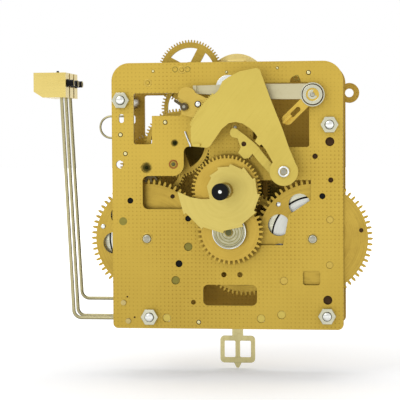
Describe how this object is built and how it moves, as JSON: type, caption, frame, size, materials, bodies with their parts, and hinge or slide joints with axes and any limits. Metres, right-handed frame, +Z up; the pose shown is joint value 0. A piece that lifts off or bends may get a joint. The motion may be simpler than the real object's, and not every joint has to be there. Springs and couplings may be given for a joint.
{
  "type": "clock movement",
  "caption": "Two-train pendulum clock movement between dimpled brass plates, with rack striking on hammers and a pendulum leader",
  "frame": {"origin": "on the hand shaft's axis, at the front face of the front plate", "axes": "+X to the right seen from the dial side, +Y to the back, +Z up; the dial side faces -Y"},
  "size_m": [0.1546, 0.0759, 0.1556],
  "materials": {
    "plate_brass": "dimpled, satin",
    "wheel_brass": "polished",
    "pale_brass": "satin",
    "arbor_steel": "turned",
    "bright_steel": "nickel-plated",
    "black_metal": "black oxide",
    "wire_steel": "drawn wire",
    "hammer_brass": "polished"
  },
  "bodies": {
    "frame": {"front_plate": "plate_brass", "back_plate": "plate_brass", "pillars": "arbor_steel", "pillar_nuts": "bright_steel", "lever_posts": "arbor_steel", "suspension_cock": "pale_brass", "suspension_block": "wheel_brass", "hammer_arbors": "arbor_steel", "wire_loop": "wire_steel"},
    "time_great": {"time_great_wheel": "wheel_brass", "time_great_arbor": "arbor_steel", "time_click": "arbor_steel"},
    "time_chain": {"time_chain_wheel": "bright_steel"},
    "time_second": {"time_second_wheel": "wheel_brass", "time_second_arbor": "arbor_steel"},
    "centre": {"centre_wheel": "wheel_brass", "centre_arbor": "arbor_steel", "cannon_pinion": "wheel_brass", "lifting_cam": "wheel_brass", "hand_nut": "black_metal"},
    "third": {"third_wheel": "wheel_brass", "third_arbor": "arbor_steel"},
    "escape": {"escape_wheel": "wheel_brass", "escape_arbor": "arbor_steel"},
    "minute": {"minute_wheel": "wheel_brass", "minute_washer": "bright_steel"},
    "hour": {"hour_wheel": "wheel_brass", "hour_snail": "pale_brass"},
    "verge": {"anchor": "arbor_steel", "anchor_arbor": "arbor_steel", "crutch": "wire_steel"},
    "pendulum": {"pendulum_leader": "pale_brass", "suspension_spring": "bright_steel"},
    "strike_great": {"strike_great_wheel": "wheel_brass", "strike_great_arbor": "arbor_steel", "strike_click": "arbor_steel", "strike_star": "arbor_steel"},
    "strike_chain": {"strike_chain_wheel": "bright_steel"},
    "strike_second": {"strike_second_wheel": "wheel_brass", "strike_second_arbor": "arbor_steel"},
    "strike_third": {"strike_third_wheel": "wheel_brass", "strike_third_arbor": "arbor_steel"},
    "gathering": {"gathering_wheel": "wheel_brass", "gathering_arbor": "arbor_steel", "gathering_pallet": "arbor_steel"},
    "warning": {"warning_wheel": "wheel_brass", "warning_arbor": "arbor_steel"},
    "fly": {"fly": "bright_steel"},
    "rack": {"rack": "pale_brass"},
    "hook": {"rack_hook": "pale_brass"},
    "lifting": {"lifting_lever": "pale_brass"},
    "unlocking": {"steel_bar": "bright_steel", "folded_lever": "wheel_brass"},
    "front_hammer": {"front_hammer_wire": "wire_steel", "front_hammer_head": "hammer_brass"},
    "middle_hammer": {"middle_hammer_wire": "wire_steel", "middle_hammer_head": "hammer_brass"},
    "rear_hammer": {"rear_hammer_wire": "wire_steel", "rear_hammer_head": "hammer_brass"}
  },
  "joints": [
    {"name": "centre_turn", "type": "hinge", "parent": "frame", "child": "centre", "pos_m": [0, 0.0165, 0], "axis": [0, -1, 0], "continuous": true},
    {"name": "time_second_turn", "type": "hinge", "parent": "frame", "child": "time_second", "pos_m": [0.00547, 0.0165, -0.02575], "axis": [0, -1, 0], "continuous": true},
    {"name": "time_great_turn", "type": "hinge", "parent": "frame", "child": "time_great", "pos_m": [0.0377, 0.0165, -0.0224], "axis": [0, -1, 0], "continuous": true},
    {"name": "time_winding", "type": "hinge", "parent": "time_great", "child": "time_chain", "pos_m": [0.0377, 0.0165, -0.0224], "axis": [0, -1, 0], "continuous": true},
    {"name": "third_turn", "type": "hinge", "parent": "frame", "child": "third", "pos_m": [0.0095, 0.0165, 0.01529], "axis": [0, -1, 0], "continuous": true},
    {"name": "escape_turn", "type": "hinge", "parent": "frame", "child": "escape", "pos_m": [0.003, 0.0165, 0.028], "axis": [0, -1, 0], "continuous": true},
    {"name": "minute_turn", "type": "hinge", "parent": "frame", "child": "minute", "pos_m": [0.0012, -0.009, -0.01871], "axis": [0, -1, 0], "continuous": true},
    {"name": "hour_turn", "type": "hinge", "parent": "frame", "child": "hour", "pos_m": [0, -0.012, 0], "axis": [0, -1, 0], "continuous": true},
    {"name": "pendulum_swing", "type": "hinge", "parent": "frame", "child": "pendulum", "pos_m": [0, 0.0357, 0.046], "axis": [0, -1, 0], "range_deg": [-3, 3]},
    {"name": "verge_swing", "type": "hinge", "parent": "frame", "child": "verge", "pos_m": [0, 0.0165, 0.046], "axis": [0, -1, 0], "range_deg": [-3, 3]},
    {"name": "gathering_turn", "type": "hinge", "parent": "frame", "child": "gathering", "pos_m": [-0.01864, 0.0165, 0.03721], "axis": [0, -1, 0], "continuous": true},
    {"name": "strike_third_turn", "type": "hinge", "parent": "frame", "child": "strike_third", "pos_m": [-0.02468, 0.0165, 0.02116], "axis": [0, -1, 0], "continuous": true},
    {"name": "strike_second_turn", "type": "hinge", "parent": "frame", "child": "strike_second", "pos_m": [-0.0377, 0.0165, 0.01], "axis": [0, -1, 0], "continuous": true},
    {"name": "strike_great_turn", "type": "hinge", "parent": "frame", "child": "strike_great", "pos_m": [-0.0377, 0.0165, -0.0224], "axis": [0, -1, 0], "continuous": true},
    {"name": "strike_winding", "type": "hinge", "parent": "strike_great", "child": "strike_chain", "pos_m": [-0.0377, 0.0165, -0.0224], "axis": [0, -1, 0], "continuous": true},
    {"name": "warning_turn", "type": "hinge", "parent": "frame", "child": "warning", "pos_m": [-0.02109, 0.0165, 0.05419], "axis": [0, -1, 0], "continuous": true},
    {"name": "fly_turn", "type": "hinge", "parent": "frame", "child": "fly", "pos_m": [-0.03674, 0.0165, 0.04849], "axis": [0, -1, 0], "continuous": true},
    {"name": "rack_fall", "type": "hinge", "parent": "frame", "child": "rack", "pos_m": [0.0258, -0.0128, 0.0082], "axis": [0, -1, 0], "range_deg": [0, 14]},
    {"name": "hook_lift", "type": "hinge", "parent": "frame", "child": "hook", "pos_m": [-0.0125, -0.0094, 0.0383], "axis": [0, -1, 0], "range_deg": [-6, 0]},
    {"name": "lifting_lever_lift", "type": "hinge", "parent": "frame", "child": "lifting", "pos_m": [0.0258, -0.0079, 0.0082], "axis": [0, -1, 0], "range_deg": [-8, 0]},
    {"name": "unlocking_lift", "type": "hinge", "parent": "frame", "child": "unlocking", "pos_m": [0.0382, -0.0047, 0.0423], "axis": [0, -1, 0], "range_deg": [-5, 0]},
    {"name": "front_hammer_swing", "type": "hinge", "parent": "frame", "child": "front_hammer", "pos_m": [-0.0465, 0.0055, -0.06], "axis": [0, -1, 0], "range_deg": [0, 12], "stiffness_Nm_per_rad": 0.02, "springref_deg": -20.05},
    {"name": "middle_hammer_swing", "type": "hinge", "parent": "frame", "child": "middle_hammer", "pos_m": [-0.0465, 0.0095, -0.06], "axis": [0, -1, 0], "range_deg": [0, 12], "stiffness_Nm_per_rad": 0.02, "springref_deg": -20.05},
    {"name": "rear_hammer_swing", "type": "hinge", "parent": "frame", "child": "rear_hammer", "pos_m": [-0.0487, 0.0156, -0.0516], "axis": [0, -1, 0], "range_deg": [0, 12], "stiffness_Nm_per_rad": 0.02, "springref_deg": -20.05}
  ],
  "couplings": [
    {"joint": "time_second_turn", "follows": "centre_turn", "ratio": -0.125},
    {"joint": "time_great_turn", "follows": "centre_turn", "ratio": 0.03125},
    {"joint": "third_turn", "follows": "centre_turn", "ratio": -9},
    {"joint": "escape_turn", "follows": "centre_turn", "ratio": 67.5},
    {"joint": "minute_turn", "follows": "centre_turn", "ratio": -0.33333},
    {"joint": "hour_turn", "follows": "centre_turn", "ratio": 0.083333},
    {"joint": "verge_swing", "follows": "pendulum_swing", "ratio": 1},
    {"joint": "strike_third_turn", "follows": "gathering_turn", "ratio": -0.12903},
    {"joint": "strike_second_turn", "follows": "gathering_turn", "ratio": 0.016649},
    {"joint": "strike_great_turn", "follows": "gathering_turn", "ratio": -0.0041623},
    {"joint": "warning_turn", "follows": "gathering_turn", "ratio": -7.75},
    {"joint": "fly_turn", "follows": "gathering_turn", "ratio": 63.938}
  ]
}
